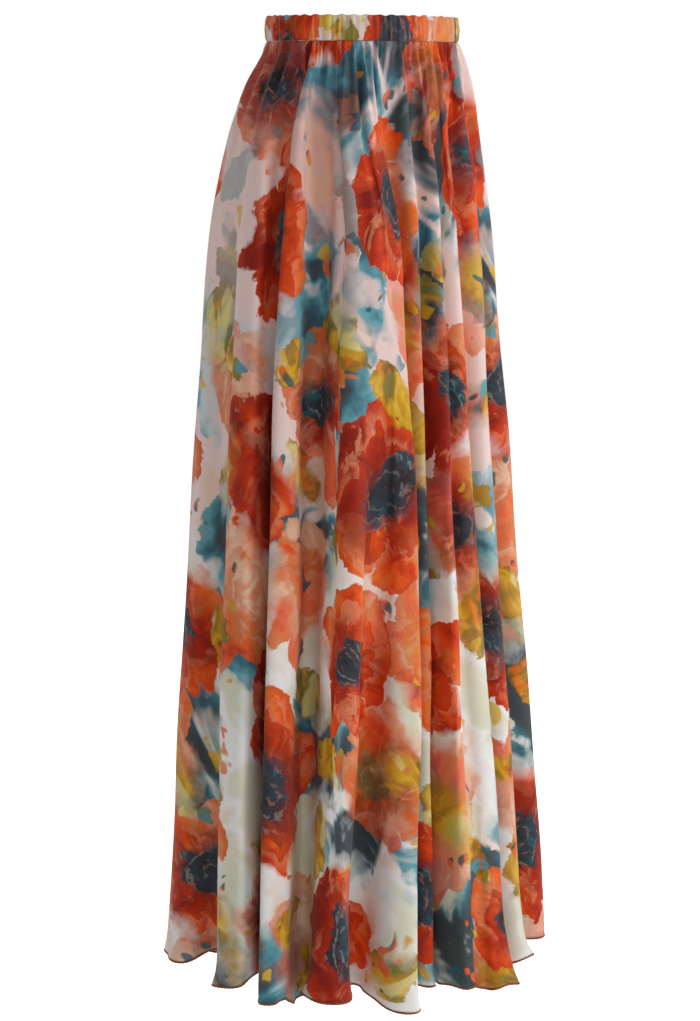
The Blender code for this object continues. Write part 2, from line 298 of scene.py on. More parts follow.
def flute_lengths(below):
    x, y = ring_curve(below)
    step = np.hypot(np.diff(np.append(x, x[0])), np.diff(np.append(y, y[0])))
    return step.reshape(COUNT, -1).sum(axis=1)


def ring(below, places):
    """Points of one level at the given places (flute number plus share of its own length)."""
    x, y = ring_curve(below)
    steps = 2 * CURVE_STEPS
    px, py = np.empty(len(places)), np.empty(len(places))
    for k in range(COUNT):
        mine = np.flatnonzero(np.floor(places).astype(int) % COUNT == k)
        which = np.arange(k * steps, (k + 1) * steps + 1) % len(x)
        along = np.concatenate([[0.0], np.cumsum(np.hypot(np.diff(x[which]), np.diff(y[which])))])
        wanted = along[-1] * (places[mine] % 1.0)
        px[mine] = np.interp(wanted, along, x[which])
        py[mine] = np.interp(wanted, along, y[which])
    return np.stack([px, py, np.full(len(places), -below)], axis=1)


def column_places():
    """Places of the columns, shared out so that each stands for the same width of cloth; and the cloth's share at each."""
    lengths = 0.35 * flute_lengths(0.484) / flute_lengths(0.484).sum() + 0.65 * flute_lengths(0.957) / flute_lengths(0.957).sum()
    edges = np.concatenate([[0.0], np.cumsum(lengths)])

    def share_at(place):
        return float(np.interp(place, np.arange(COUNT + 1), edges))

    right, left = share_at(sum(SEAM_RIGHT)), share_at(sum(SEAM_LEFT))
    front = np.linspace(right, left, PANEL_COLUMNS, endpoint=False)
    back = np.linspace(left, right + 1, PANEL_COLUMNS, endpoint=False)
    share = np.concatenate([front, back])
    places = np.interp(share % 1.0, edges, np.arange(COUNT + 1))
    return places, share, right, left


def waves(share, around, seed, wander):
    """An uneven wave that closes on itself after one turn: around crests, spaced and sized unevenly."""
    rng = np.random.default_rng(seed)
    turn = 2 * math.pi * share
    phase = around * turn + rng.uniform(0, 2 * math.pi)
    size = np.ones_like(share)
    for j in range(3, 24, 2):
        phase = phase + wander * rng.uniform(0.4, 1.0) * np.sin(j * turn + rng.uniform(0, 2 * math.pi)) * 3 / (j**0.5 * 6)
        size = size + 0.16 * np.sin((j + 4) * turn + rng.uniform(0, 2 * math.pi))
    return np.sin(phase) * np.clip(size, 0.25, 1.7)


def table_at(xs, ys, x):
    return np.interp(x, xs, ys)


def course(crease, down):
    """At each depth: the share of the crease passed, its middle, and how many of its reaches a flute is there."""
    span = np.clip((down - crease.top) / (crease.bottom - crease.top), 0, 1)
    outline = 0.62 + (0.9 - 0.62) * np.clip(down / 0.3, 0, 1)      # metres of outline, roughly
    return span, crease.place + crease.drift * span, outline / COUNT / (crease.width * (1 + 0.8 * span))


def tucked(places, start, down):
    """How much cloth the creases hide between a panel's first side, at the place start, and each column."""
    passed = (places - start + 1e-6) % COUNT
    out = np.zeros((len(down), len(places)))
    for c in CREASES:
        if c.tuck:
            span, centre, reaches = course(c, down)
            gap = (passed[None, :] - (centre - c.place + (c.place - start) % COUNT)[:, None]) * reaches[:, None]
            out = out + c.tuck * np.sqrt(np.sin(math.pi * span))[:, None] * (0.5 + 0.5 * np.tanh(2.2 * gap))
    return out


def folds(places, share, down):
    """How far the cloth stands out from its flutes, for rows of depths and columns of places."""
    s = share[None, :]
    d = down[:, None] + SKIRT_TOP
    wander = 0.0022 * np.sin(2 * math.pi * (5 * s + 2.1 * d)) * np.clip(d / 0.1, 0, 1) + 0.0012 * np.sin(2 * math.pi * (13 * s - 5.0 * d))
    s = s + wander
    fine = waves(s, 112, 11, 1.2)
    middle = waves(s, 61, 23, 1.6)
    wide = waves(s, 31, 37, 1.6)
    out = 0.0008 * fine * table_at((0, .004, .012, .026, .055), (.25, 1.0, .9, .4, 0), d)
    out = out + 0.0021 * middle * table_at((0, .006, .018, .045, .09, .15), (.10, .75, 1.0, .75, .28, 0), d)
    out = out + 0.0036 * wide * table_at((0, .010, .035, .065, .11, .18, .32), (.02, .35, .85, 1.0, .75, .35, 0), d)
    out = out - 0.0022 * table_at((0, .012, .030, .075, .12, .17), (.02, 1.0, 1.0, .8, .35, 0), d)
    for c in CREASES:
        span, centre, reaches = course(c, down)
        strength = np.where((down > c.top) & (down < c.bottom), np.sin(math.pi * span**0.6) ** 1.3, 0)
        gap = (places[None, :] - centre[:, None] + COUNT / 2) % COUNT - COUNT / 2
        across = gap * reaches[:, None]
        out = out + c.depth * strength[:, None] * np.exp(-(across**2))
    # slow unevenness, so that no flute is a clean sweep
    slow = np.sin(2 * math.pi * (9 * s + 1.7 * d)) * np.sin(2 * math.pi * (4 * s - 2.6 * d) + 1.0)
    slow = slow + 0.7 * np.sin(2 * math.pi * (22 * s + 0.9 * d) + 2.0) * np.sin(2 * math.pi * (3 * s + 3.1 * d))
    out = out + 0.0011 * slow * table_at((0, .05, .2, .9), (0, .4, 1.0, 1.2), d)
    return out


def lift(places):
    """How much higher the hem hangs at the given places."""
    up = np.zeros(len(places))
    for bump in LIFTS:
        gap = (places - bump.place + COUNT / 2) % COUNT - COUNT / 2
        up += bump.up * np.exp(-((gap / bump.reach) ** 2))
    return up


def cloth_grid():
    """Rows by columns of points on the outside of the cloth, all the way round, before its folds; and what goes with them."""
    places, share, right, left = column_places()
    down = rows_down()
    grid = np.array([ring(below, places) for below in down])
    depth_share = ((down + SKIRT_TOP) / (-HEM_LEVEL + SKIRT_TOP))[:, None]
    crestness = (1 - np.cos(2 * math.pi * places)) / 2
    drop = np.array([FLUTES[int(k) % COUNT].drop for k in places]) * crestness
    heading = math.radians(HEM_TILT_HEADING)
    across = math.cos(heading) * grid[..., 0] + math.sin(heading) * grid[..., 1]
    grid[..., 2] += (HEM_TILT * across - drop + lift(places)) * depth_share**2
    return grid, places, share, right, left, down


def outward_normals(grid):
    round_it = np.roll(grid, -1, axis=1) - np.roll(grid, 1, axis=1)
    down = np.gradient(grid, axis=0)
    normals = np.cross(down, round_it)
    return normals / np.linalg.norm(normals, axis=-1, keepdims=True)


def curled_hem(grid, normals, places, length_down):
    """The last stretch of cloth ripples a little and flips at the listed curls."""
    to_hem = length_down[-1:] - length_down
    near = np.exp(-((to_hem / 0.011) ** 1.3))
    share = places[None, :] / COUNT
    ripple = 0.0010 * waves(share, 96, 51, 1.2) + 0.0014 * waves(share, 47, 57, 1.4)
    out, lift = near * ripple, 0 * near
    for c in CURLS:
        gap = (places[None, :] - c.place + COUNT / 2) % COUNT - COUNT / 2
        bump = np.exp(-((gap / c.reach) ** 2))
        out = out + c.out * bump * np.exp(-((to_hem / 0.014) ** 1.6))
        lift = lift + c.lift * bump * np.exp(-((to_hem / 0.010) ** 1.6))
    moved = grid + normals * out[..., None]
    moved[..., 2] += lift
    return moved


# ---------------------------------------------------------------- the print, laid out in flat-cloth metres
# The cloth repeats after this width and length.
TILE = (0.76, 0.94)
# Blooms: centre in the repeat, reach to the petals' tips, how much wider than
# tall, turn in degrees, tone (0 deep red to 1 pale peach), a seed.
Motif = namedtuple("Motif", "x y reach stretch turn tone seed")
BLOOMS = (
    Motif(.10, .12, .106, 1.05, 20, .18, .11), Motif(.35, .05, .092, .95, 75, .34, .43),
    Motif(.60, .15, .110, 1.14, -30, .10, .72), Motif(.23, .33, .098, .90, 140, .40, .25),
    Motif(.48, .37, .112, 1.00, 10, .20, .94), Motif(.72, .40, .094, 1.16, 60, .28, .57),
    Motif(.07, .54, .108, 1.00, -70, .12, .36), Motif(.32, .61, .096, 1.10, 35, .26, .81),
    Motif(.56, .64, .104, .92, 110, .38, .05), Motif(.18, .81, .092, 1.00, -15, .30, .64),
    Motif(.43, .86, .108, 1.08, 95, .14, .49), Motif(.69, .86, .098, .98, -50, .24, .17),
)
FADED = (
    Motif(.24, .19, .094, 1.14, 50, .62, .31), Motif(.48, .20, .082, .95, -20, .78, .66),
    Motif(.74, .27, .096, 1.08, 80, .48, .09), Motif(.09, .37, .088, .90, 15, .70, .53),
    Motif(.35, .47, .098, 1.16, -60, .46, .87), Motif(.62, .52, .086, 1.00, 30, .74, .22),
    Motif(.20, .68, .094, .96, 120, .56, .75), Motif(.45, .73, .084, 1.06, -35, .66, .40),
    Motif(.73, .67, .094, 1.00, 65, .44, .13), Motif(.04, .90, .092, 1.10, -10, .60, .98),
    Motif(.30, .93, .088, .92, 45, .52, .59), Motif(.57, .94, .096, 1.08, 100, .72, .27),
)
LEAVES = (
    Motif(.19, .22, .046, 1.7, 35, .30, .14), Motif(.29, .14, .034, 1.3, -60, .70, .48),
    Motif(.49, .12, .050, 1.6, 80, .45, .83), Motif(.71, .08, .036, 1.3, 10, .85, .29),
    Motif(.03, .26, .041, 1.5, -25, .55, .62), Motif(.38, .26, .052, 1.8, 110, .25, .07),
    Motif(.58, .27, .034, 1.3, 50, .65, .91), Motif(.14, .45, .052, 1.6, -75, .40, .38),
    Motif(.26, .43, .032, 1.2, 15, .90, .56), Motif(.60, .41, .048, 1.6, 130, .35, .71),
    Motif(.43, .52, .055, 1.7, -15, .60, .19), Motif(.73, .54, .036, 1.4, 65, .20, .44),
    Motif(.20, .57, .043, 1.5, 95, .75, .86), Motif(.05, .71, .050, 1.6, -40, .50, .33),
    Motif(.45, .61, .032, 1.2, 25, .80, .68), Motif(.33, .76, .055, 1.8, 70, .30, .02),
    Motif(.58, .77, .043, 1.5, -55, .55, .52), Motif(.70, .73, .034, 1.3, 5, .85, .77),
    Motif(.09, .83, .046, 1.5, 120, .40, .24), Motif(.54, .87, .052, 1.7, -80, .65, .95),
    Motif(.25, .89, .032, 1.2, 40, .25, .60), Motif(.68, .95, .050, 1.6, -5, .70, .35),
    Motif(.36, .39, .044, 1.6, 60, .62, .13), Motif(.66, .62, .042, 1.6, -40, .72, .57),
    Motif(.28, .70, .040, 1.5, 20, .66, .81), Motif(.12, .62, .044, 1.7, -60, .58, .27),
    Motif(.40, .95, .042, 1.5, 100, .74, .93), Motif(.46, .22, .036, 1.5, 10, .60, .49),
    Motif(.63, .33, .038, 1.5, 150, .68, .05), Motif(.50, .71, .042, 1.6, -25, .80, .39),
)
WASHES = (
    Motif(.27, .05, .112, 1.6, 25, .20, .12), Motif(.52, .04, .082, 1.4, -65, .75, .47),
    Motif(.05, .21, .104, 1.5, 70, .35, .84), Motif(.40, .18, .080, 1.4, 5, .90, .28),
    Motif(.67, .29, .116, 1.7, -35, .10, .63), Motif(.17, .47, .108, 1.6, 100, .25, .08),
    Motif(.46, .48, .086, 1.4, 40, .80, .92), Motif(.65, .55, .098, 1.5, -20, .20, .39),
    Motif(.02, .66, .106, 1.6, 55, .60, .73), Motif(.26, .71, .084, 1.4, -80, .15, .18),
    Motif(.50, .76, .102, 1.6, 15, .40, .45), Motif(.74, .78, .088, 1.4, 85, .85, .87),
    Motif(.31, .87, .112, 1.7, -45, .05, .34), Motif(.60, .91, .080, 1.4, 30, .70, .69),
    Motif(.12, .94, .094, 1.5, -10, .50, .03),
)
LAYERS = (("bloom", BLOOMS), ("faded", FADED), ("leaf", LEAVES), ("wash", WASHES))


def local(motif, offset):
    """Places in a motif's own frame, where its petals' tips reach about 1, from offsets to its centre."""
    turn = math.radians(motif.turn)
    c, s = math.cos(turn), math.sin(turn)
    u = (c * offset[..., 0] + s * offset[..., 1]) / (motif.reach * motif.stretch**0.5)
    v = (-s * offset[..., 0] + c * offset[..., 1]) / (motif.reach / motif.stretch**0.5)
    return np.stack([u, v], axis=-1)


def nearest(motifs, points):
    """For points in the cloth: how far the nearest motif is, how far the next is, and which the nearest is.

    Which is the motif's number and the column and row of the repeat it lies in, packed in one number.
    """
    tile = np.floor(points / TILE).astype(int)
    inside = points - tile * TILE
    best, second = np.full(len(points), np.inf), np.full(len(points), np.inf)
    which = np.zeros(len(points), int)
    for i, motif in enumerate(motifs):
        for ox in (-1, 0, 1):
            for oy in (-1, 0, 1):
                far = np.linalg.norm(local(motif, inside - (motif.x + ox * TILE[0], motif.y + oy * TILE[1])), axis=-1)
                nearer = far < best
                second = np.where(nearer, best, np.minimum(second, far))
                which[nearer] = i + 64 * (tile[nearer, 0] + ox + 8) + 2048 * (tile[nearer, 1] + oy + 8)
                best[nearer] = far[nearer]
    return best, second, which


def dress(mesh, flat, lower):
    """Gives a mesh its flat-cloth places and, layer by layer, each corner's place in the nearest motif.

    flat is each vertex's place in the flat cloth, in metres, and lower each
    vertex's share of the way down the skirt. A face belongs to one motif; the
    gap to the next motif falls to nothing where it hands over.
    """
    corner = np.empty(len(mesh.loops), np.int32)
    mesh.loops.foreach_get("vertex_index", corner)
    first = np.empty(len(mesh.polygons), np.int32)
    mesh.polygons.foreach_get("loop_start", first)
    total = np.empty(len(mesh.polygons), np.int32)
    mesh.polygons.foreach_get("loop_total", total)
    uv = mesh.uv_layers.new(name="cloth")
    uv.data.foreach_set("uv", flat[corner].astype(np.float32).ravel())
    centres = np.add.reduceat(flat[corner], first, axis=0) / total[:, None]
    half = len(flat) // 2
    twice = np.array_equal(flat[:half], flat[half:])      # both faces of a shell share their places
    for name, motifs in LAYERS:
        best, second, own = nearest(motifs, flat[:half] if twice else flat)
        if twice:
            best, second, own = np.tile(best, 2), np.tile(second, 2), np.tile(own, 2)
        chosen = np.repeat(nearest(motifs, centres)[2], total)
        number = chosen % 64
        tile = np.stack([chosen // 64 % 32 - 8, chosen // 2048 - 8], axis=-1)
        places = np.zeros((len(corner), 2))
        kinds = np.zeros((len(corner), 3), np.float32)
        for i, motif in enumerate(motifs):
            mine = np.flatnonzero(number == i)
            places[mine] = local(motif, flat[corner[mine]] - tile[mine] * TILE - (motif.x, motif.y))
            kinds[mine, 0], kinds[mine, 1] = motif.tone, motif.seed
        far = np.linalg.norm(places, axis=-1)
        kinds[:, 2] = np.where(own[corner] == chosen, second[corner], best[corner]) - far
        uv = mesh.uv_layers.new(name=name)
        uv.data.foreach_set("uv", places.astype(np.float32).ravel())
        kind = mesh.attributes.new(name + "_kind", "FLOAT_VECTOR", "CORNER")
        kind.data.foreach_set("vector", kinds.ravel())
    depth = mesh.attributes.new("lower", "FLOAT", "POINT")
    depth.data.foreach_set("value", lower.astype(np.float32))


# ---------------------------------------------------------------- writing materials
def ink(red, green, blue):
    """A colour given as it looks on a screen, as the linear light that a shader takes."""
    def linear(v):
        v /= 255
        return v / 12.92 if v <= 0.04045 else ((v + 0.055) / 1.055) ** 2.4
    return (linear(red), linear(green), linear(blue), 1.0)


class Sheet:
    """Adds nodes to one material. A value is a number, a colour or another node's socket."""

    def __init__(self, name):
        self.material = bpy.data.materials.new(name)
        self.material.use_nodes = True
        self.tree = self.material.node_tree
        self.tree.nodes.clear()
        self.cache = {}

    def put(self, socket, value):
        if isinstance(value, bpy.types.NodeSocket):
            self.tree.links.new(value, socket)
        elif value is not None:
            socket.default_value = value

    def node(self, kind, **settings):
        made = self.tree.nodes.new("ShaderNode" + kind)
        for key, value in settings.items():
            setattr(made, key, value)
        return made

    def math(self, operation, a, b=None, c=None, clamp=False):
        made = self.node("Math", operation=operation, use_clamp=clamp)
        for socket, value in zip(made.inputs, (a, b, c)):
            self.put(socket, value)
        return made.outputs[0]

    def add(self, a, b):
        return self.math("ADD", a, b)

    def sub(self, a, b):
        return self.math("SUBTRACT", a, b)

    def mul(self, a, b, clamp=False):
        return self.math("MULTIPLY", a, b, clamp=clamp)

    def vector(self, operation, a, b=None, scale=None):
        made = self.node("VectorMath", operation=operation)
        self.put(made.inputs[0], a)
        self.put(made.inputs[1], b)
        if scale is not None:
            self.put(made.inputs["Scale"], scale)
        return made.outputs["Value"] if operation in ("LENGTH", "DOT_PRODUCT", "DISTANCE") else made.outputs["Vector"]

    def parts(self, vector):
        made = self.node("SeparateXYZ")
        self.put(made.inputs[0], vector)
        return made.outputs

    def join(self, x, y, z=0.0):
        made = self.node("CombineXYZ")
        for socket, value in zip(made.inputs, (x, y, z)):
            self.put(socket, value)
        return made.outputs[0]

    def noise(self, where, scale, detail=2.0, rough=0.5, twist=0.0, flat=False):
        made = self.node("TexNoise", noise_dimensions="2D" if flat else "3D")
        self.put(made.inputs["Vector"], where)
        made.inputs["Scale"].default_value = scale
        made.inputs["Detail"].default_value = detail
        made.inputs["Roughness"].default_value = rough
        made.inputs["Distortion"].default_value = twist
        return made

    def span(self, value, low, high, to_low=0.0, to_high=1.0, soft=True):
        made = self.node("MapRange", interpolation_type="SMOOTHSTEP" if soft else "LINEAR", clamp=True)
        for name, v in (("Value", value), ("From Min", low), ("From Max", high), ("To Min", to_low), ("To Max", to_high)):
            self.put(made.inputs[name], v)
        return made.outputs["Result"]

    def mix(self, share, a, b, how="MIX"):
        made = self.node("Mix", data_type="RGBA", blend_type=how, clamp_factor=True)
        self.put(made.inputs[0], share)
        self.put(made.inputs[6], a)
        self.put(made.inputs[7], b)
        return made.outputs[2]

    def ramp(self, value, stops, how="LINEAR"):
        made = self.node("ValToRGB")
        made.color_ramp.interpolation = how
        elements = made.color_ramp.elements
        while len(elements) > 1:
            elements.remove(elements[-1])
        elements[0].position, elements[0].color = stops[0]
        for position, colour in stops[1:]:
            element = elements.new(position)
            element.color = colour
        self.put(made.inputs[0], value)
        return made.outputs[0]

    def uv(self, name):
        made = self.node("UVMap")
        made.uv_map = name
        return made.outputs[0]

    def attribute(self, name, output="Vector"):
        made = self.node("Attribute", attribute_type="GEOMETRY", attribute_name=name)
        return made.outputs[output]


DEEP_RED = ink(150, 30, 10)
RED = ink(212, 56, 12)
ORANGE_RED = ink(244, 86, 20)
ORANGE = ink(250, 116, 42)
TERRACOTTA = ink(230, 130, 70)
CORAL = ink(246, 160, 118)
PEACH = ink(248, 204, 170)
CREAM = ink(252, 240, 218)
GOLD = ink(236, 190, 44)
AMBER = ink(212, 152, 20)
LIME = ink(204, 200, 58)
OLIVE = ink(138, 124, 30)
BROWN = ink(110, 62, 28)
SLATE = ink(34, 68, 82)
NAVY = ink(18, 42, 54)
TEAL = ink(8, 104, 124)
SEA = ink(90, 170, 184)
MIST = ink(198, 226, 230)
SMOKE = ink(134, 164, 174)
PINK_GREY = ink(250, 220, 214)
WHITE = ink(252, 250, 247)


def wet_cloth(s):
    """Coordinates in the cloth, moved about as wet paint moves: a strong slow wander and a ragged fine one."""
    cloth = s.uv("cloth")
    slow = s.vector("SUBTRACT", s.noise(cloth, 8.0, 2.0, 0.5, flat=True).outputs["Color"], (0.5, 0.5, 0.5))
    quick = s.vector("SUBTRACT", s.noise(cloth, 38.0, 3.0, 0.55, flat=True).outputs["Color"], (0.5, 0.5, 0.5))
    ragged = s.vector("SUBTRACT", s.noise(cloth, 170.0, 3.0, 0.6, flat=True).outputs["Color"], (0.5, 0.5, 0.5))
    return cloth, slow, quick, ragged


def own_place(s, layer, cloth_parts, slow, quick, ragged):
    """A place in the nearest motif, moved by the three wanders in shares of the motif's reach."""
    place = s.uv(layer)
    for wander, size in ((cloth_parts[0], slow), (cloth_parts[1], quick), (cloth_parts[2], ragged)):
        place = s.vector("ADD", place, s.vector("SCALE", wander, scale=size))
    return place


def polar(s, place):
    x, y, _ = s.parts(place)
    flat = s.join(x, y, 0.0)
    far = s.vector("LENGTH", flat)
    turn = s.math("ARCTAN2", y, x)
    ray = s.vector("NORMALIZE", flat)
    return far, turn, ray


def soft_mask(s, far, edge_noise, hard, loose, low=0.50, high=0.64):
    """1 inside a motif. Its edge is crisp where the noise is low and bleeds where it is high."""
    blur = s.span(edge_noise, low, high, hard, loose)
    return s.math("DIVIDE", s.sub(1.0, far), blur, clamp=True)


def clear_of_next(s, gap, wash, line):
    """1 where a motif has its place to itself, 0 along the line where the next one takes over."""
    ragged = s.add(gap, s.mul(s.sub(wash, 0.5), 0.55))
    return s.mul(s.span(gap, 0.0, line), s.span(ragged, 0.0, line * 2.0))


def paint_bloom(s, base, layer, wanders, cloth, edge_noise, faint):
    """One layer of blooms over a base colour."""
    place = own_place(s, layer, wanders, 0.66, 0.25, 0.028)
    far, turn, ray = polar(s, place)
    tone, seed, gap = s.parts(s.attribute(layer + "_kind"))
    offset = s.mul(seed, 6.283)
    petals = s.math("FLOOR", s.add(4.0, s.mul(s.math("FRACT", s.mul(seed, 7.0)), 2.99)))
    lobe = s.math("ABSOLUTE", s.math("SINE", s.add(s.mul(turn, s.mul(petals, 0.5)), offset)))
    own = s.join(0.0, 0.0, s.mul(seed, 9.0))
    uneven = s.noise(s.vector("ADD", s.vector("SCALE", ray, scale=0.9), own), 1.0, 1.0, 0.5).outputs["Fac"]
    reach = s.add(s.add(0.66, s.mul(s.math("POWER", lobe, 0.55), 0.21)), s.mul(s.sub(uneven, 0.5), 0.74))
    out = s.math("DIVIDE", far, reach)
    wash = s.noise(cloth, 12.0, 5.0, 0.58, twist=0.7, flat=True).outputs["Fac"]
    fine = s.noise(cloth, 80.0, 3.0, 0.6, twist=0.5, flat=True).outputs["Fac"]
    shape = s.mul(soft_mask(s, out, edge_noise, 0.020, 0.24), clear_of_next(s, gap, wash, 0.035))
    # streaks run out from the middle; washes lie across them; one side of a bloom is paler
    streak_at = s.vector("ADD", s.vector("SCALE", ray, scale=2.6), s.join(0.0, 0.0, s.add(s.mul(far, 1.3), s.mul(seed, 9.0))))
    streak = s.noise(streak_at, 1.0, 4.0, 0.62).outputs["Fac"]
    across = s.parts(place)[0]
    body = s.add(s.add(s.mul(streak, 0.50), s.mul(wash, 0.86)), s.mul(fine, 0.10))
    body = s.add(body, s.mul(s.sub(tone, 0.40), 0.42))
    body = s.add(body, s.add(s.mul(s.sub(far, 0.55), 0.10), s.mul(across, 0.15)))
    lower = s.attribute("lower", "Fac")
    if faint:
        body = s.sub(body, s.span(lower, 0.34, 0.18, 0.0, 0.17))
    colour = s.ramp(body, (
        (0.46, DEEP_RED), (0.58, RED), (0.69, ORANGE_RED), (0.78, ORANGE), (0.85, TERRACOTTA), (0.93, CORAL), (1.0, PEACH)))
    # petals part along darker lines, cream where the paint was lifted
    part = s.mul(s.span(lobe, 0.0, 0.20, 1.0, 0.0), s.span(far, 0.30, 0.70))
    colour = s.mix(s.mul(part, 0.45), colour, RED)
    lifted = s.mul(s.mul(s.span(lobe, 0.0, 0.07, 1.0, 0.0), s.span(far, 0.48, 0.74)), s.span(wash, 0.49, 0.55))
    colour = s.mix(s.mul(lifted, 0.85), colour, CREAM)
    # a second round of petals lies over the first, its edge dark inside and pale outside
    inner_lobe = s.math("ABSOLUTE", s.math("COSINE", s.add(s.mul(turn, s.mul(petals, 0.5)), s.mul(offset, 1.3))))
    inner_own = s.join(0.0, 0.0, s.add(s.mul(seed, 9.0), 4.0))
    inner_uneven = s.noise(s.vector("ADD", s.vector("SCALE", ray, scale=1.2), inner_own), 1.0, 2.0, 0.5).outputs["Fac"]
    inner_reach = s.add(s.add(0.40, s.mul(s.math("POWER", inner_lobe, 0.6), 0.17)), s.mul(s.sub(inner_uneven, 0.5), 0.62))
    step = s.sub(s.math("DIVIDE", far, inner_reach), 1.0)
    kept = s.span(wash, 0.40, 0.50)
    colour = s.mix(s.mul(s.mul(s.span(step, -0.34, -0.01), s.span(step, 0.012, -0.004)), s.mul(kept, 0.62)), colour, RED if not faint else TERRACOTTA)
    colour = s.mix(s.mul(s.mul(s.span(step, 0.30, 0.02), s.span(step, -0.004, 0.012)), s.mul(kept, 0.50)), colour, CORAL if not faint else PEACH)
    # where water ran back into the paint it left pale feathered patches
    back_run = s.noise(s.vector("ADD", cloth, (3.1, 1.7, 0.0)), 17.0, 5.0, 0.66, twist=0.4, flat=True).outputs["Fac"]
    colour = s.mix(s.mul(s.mul(s.span(back_run, 0.57, 0.61), s.span(back_run, 0.80, 0.61)), 0.55), colour, CORAL)
    # paint gathers at the crisp edge, and is drawn round in places
    rim = s.mul(s.span(out, 0.86, 0.97), s.span(edge_noise, 0.58, 0.46))
    colour = s.mix(s.mul(rim, 0.45 if not faint else 0.36), colour, RED if not faint else TERRACOTTA)
    drawn = s.mul(s.mul(s.span(out, 0.955, 0.980), s.span(edge_noise, 0.40, 0.33)), s.span(fine, 0.44, 0.54))
    colour = s.mix(s.mul(drawn, 0.50), colour, BROWN)
    strength = 1.0
    if faint:
        # near the hem they thin out, and near the waist all but the stronger ones are washed away
        high = s.span(s.add(lower, s.mul(s.sub(wash, 0.5), 0.5)), 0.36, 0.18)
        strength = s.mul(s.span(lower, 0.70, 0.96, 0.92, 0.62), s.sub(1.0, s.mul(high, s.span(tone, 0.50, 0.62, 0.08, 0.80))))
    painted = s.mix(s.mul(shape, strength), base, colour)
    # the heart: an uneven oval of slate with fine lifted lines curling round it, and a stain of red outside it
    inner = s.vector("MULTIPLY", own_place(s, layer, wanders, 0.34, 0.18, 0.045), (1.0, 0.68, 1.0))
    heart, heart_turn, heart_ray = polar(s, inner)
    strong = s.mul(s.span(tone, 0.56, 0.46), shape)
    golden = s.mul(s.mul(s.span(tone, 0.46, 0.52), s.span(tone, 0.72, 0.66)), shape)
    rays_at = s.vector("ADD", s.vector("SCALE", heart_ray, scale=3.4), s.join(0.0, 0.0, s.add(s.mul(heart, 1.6), s.mul(seed, 5.0))))
    rays = s.noise(rays_at, 1.0, 3.0, 0.55).outputs["Fac"]
    size = s.add(s.add(0.27, s.mul(s.math("FRACT", s.mul(seed, 13.0)), 0.07)), s.mul(s.sub(rays, 0.5), 0.17))
    stain = s.mul(s.span(s.sub(heart, size), 0.30, 0.02), s.span(streak, 0.38, 0.56))
    painted = s.mix(s.mul(s.mul(stain, 0.80), strong), painted, DEEP_RED)
    curl = s.add(s.mul(heart, 62.0), s.mul(s.math("SINE", s.add(heart_turn, offset)), 2.4))
    curl = s.math("SINE", s.add(curl, s.mul(wash, 22.0)))
    middle = s.ramp(s.add(s.mul(back_run, 0.75), s.mul(rays, 0.35)), ((0.43, ink(30, 34, 40)), (0.52, ink(46, 60, 68)), (0.61, SLATE), (0.72, ink(36, 116, 128))))
    line = s.mul(s.mul(s.span(curl, 0.35, 1.0), s.span(fine, 0.40, 0.58)), s.span(heart, 0.02, 0.12))
    middle = s.mix(s.mul(line, 0.46), middle, s.mix(s.span(wash, 0.46, 0.58), ink(204, 132, 104), ink(170, 182, 172)))
    core = s.math("DIVIDE", s.sub(size, heart), s.span(edge_noise, 0.44, 0.58, 0.030, 0.16), clamp=True)
    painted = s.mix(s.mul(s.mul(core, strong), 0.96), painted, middle)
    # the paler blooms have a watery gold and olive heart instead
    gilt = s.ramp(s.add(s.mul(wash, 0.8), s.mul(rays, 0.4)), ((0.44, OLIVE), (0.54, AMBER), (0.64, GOLD), (0.76, LIME)))
    gilding = s.math("DIVIDE", s.sub(s.add(size, 0.10), heart), 0.20, clamp=True)
    gilding = s.mul(gilding, s.span(s.attribute("lower", "Fac"), 0.12, 0.30, 0.15, 1.0))
    return s.mix(s.mul(s.mul(gilding, golden), 0.90), painted, gilt), shape


